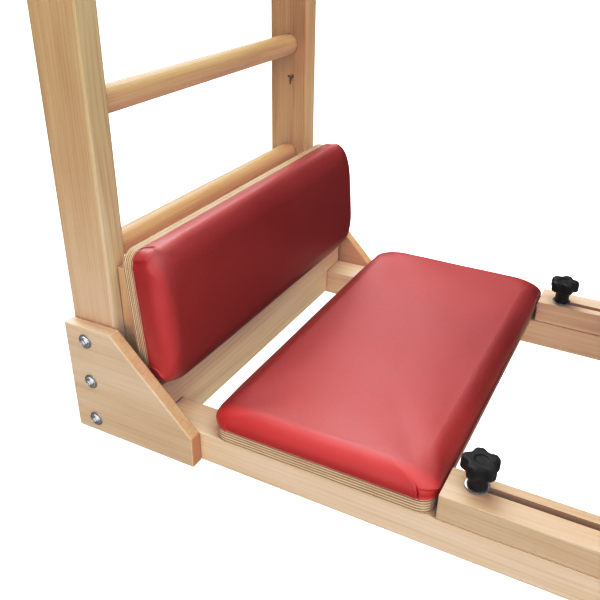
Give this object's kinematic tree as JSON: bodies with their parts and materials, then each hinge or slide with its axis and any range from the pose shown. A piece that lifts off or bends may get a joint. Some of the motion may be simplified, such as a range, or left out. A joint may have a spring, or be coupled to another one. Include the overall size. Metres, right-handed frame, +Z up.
{
  "type": "pilates ladder barrel",
  "caption": "Wooden ladder barrel: runged ladder with a leaning back pad, low padded step, and a padded barrel on a sliding carriage clamped by star knobs.",
  "frame": {"origin": "on the floor, under the middle of the bounding box with the barrel pushed in to its closest position", "axes": "+X from the ladder towards the barrel, +Y across the object away from the side that faces the camera, +Z up"},
  "size_m": [1.29, 0.6848, 0.975],
  "materials": {
    "maple": "satin",
    "warm_maple": "satin",
    "plywood": "satin",
    "red_vinyl": "satin",
    "foam": "matte",
    "bright_steel": "satin",
    "black_plastic": "satin",
    "brass": "satin",
    "black_plastic_glide": "matte"
  },
  "bodies": {
    "ladder_base": {"back_pad_board": "plywood", "back_pad_cover": "red_vinyl", "back_pad_foam": "foam", "far_base_rail": "maple", "far_batten": "maple", "far_gusset": "maple", "far_gusset_bolt_1": "bright_steel", "far_gusset_bolt_2": "bright_steel", "far_gusset_bolt_3": "bright_steel", "far_pad_bolt_lower": "bright_steel", "far_pad_bolt_upper": "bright_steel", "far_post": "maple", "far_slotted_guide": "maple", "kick_board": "maple", "near_base_rail": "maple", "near_batten": "maple", "near_gusset": "maple", "near_gusset_bolt_1": "bright_steel", "near_gusset_bolt_2": "bright_steel", "near_gusset_bolt_3": "bright_steel", "near_pad_bolt_lower": "bright_steel", "near_pad_bolt_upper": "bright_steel", "near_post": "maple", "near_slotted_guide": "maple", "rung_1": "warm_maple", "rung_2": "warm_maple", "rung_3": "warm_maple", "rung_4": "warm_maple", "step_board": "plywood", "step_cover": "red_vinyl", "step_foam": "foam"},
    "barrel_carriage": {"barrel_cover": "red_vinyl", "barrel_foam": "foam", "barrel_skin": "plywood", "centre_rib": "plywood", "end_beam": "maple", "far_barrel_panel": "plywood", "far_beam_bolt": "bright_steel", "far_clamp_bolt": "bright_steel", "far_front_panel_bolt": "bright_steel", "far_glide_strip": "black_plastic_glide", "far_rear_panel_bolt": "bright_steel", "far_runner": "warm_maple", "far_runner_bolt": "bright_steel", "front_stretcher": "maple", "near_barrel_panel": "plywood", "near_beam_bolt": "bright_steel", "near_clamp_bolt": "bright_steel", "near_front_panel_bolt": "bright_steel", "near_glide_strip": "black_plastic_glide", "near_rear_panel_bolt": "bright_steel", "near_runner": "warm_maple", "near_runner_bolt": "bright_steel", "rear_stretcher": "maple"},
    "near_knob_lift": {"near_knob_washer": "bright_steel"},
    "near_knob": {"near_star_knob": "black_plastic", "near_knob_insert": "brass"},
    "far_knob_lift": {"far_knob_washer": "bright_steel"},
    "far_knob": {"far_star_knob": "black_plastic", "far_knob_insert": "brass"}
  },
  "joints": [
    {"name": "carriage_slide", "type": "slide", "parent": "ladder_base", "child": "barrel_carriage", "axis": [1, 0, 0], "range_m": [0, 0.2]},
    {"name": "near_knob_rise", "type": "slide", "parent": "barrel_carriage", "child": "near_knob_lift", "axis": [0, 0, 1], "range_m": [0, 0.003]},
    {"name": "near_knob_turn", "type": "hinge", "parent": "near_knob_lift", "child": "near_knob", "pos_m": [-0.0345, -0.276, 0.0926], "axis": [0, 0, 1], "range_deg": [0, 720]},
    {"name": "far_knob_rise", "type": "slide", "parent": "barrel_carriage", "child": "far_knob_lift", "axis": [0, 0, 1], "range_m": [0, 0.003]},
    {"name": "far_knob_turn", "type": "hinge", "parent": "far_knob_lift", "child": "far_knob", "pos_m": [-0.0345, 0.276, 0.0926], "axis": [0, 0, 1], "range_deg": [0, 720]}
  ],
  "couplings": [
    {"joint": "near_knob_turn", "follows": "near_knob_rise", "rad_per_m": 4188.7},
    {"joint": "far_knob_turn", "follows": "far_knob_rise", "rad_per_m": 4188.7}
  ]
}
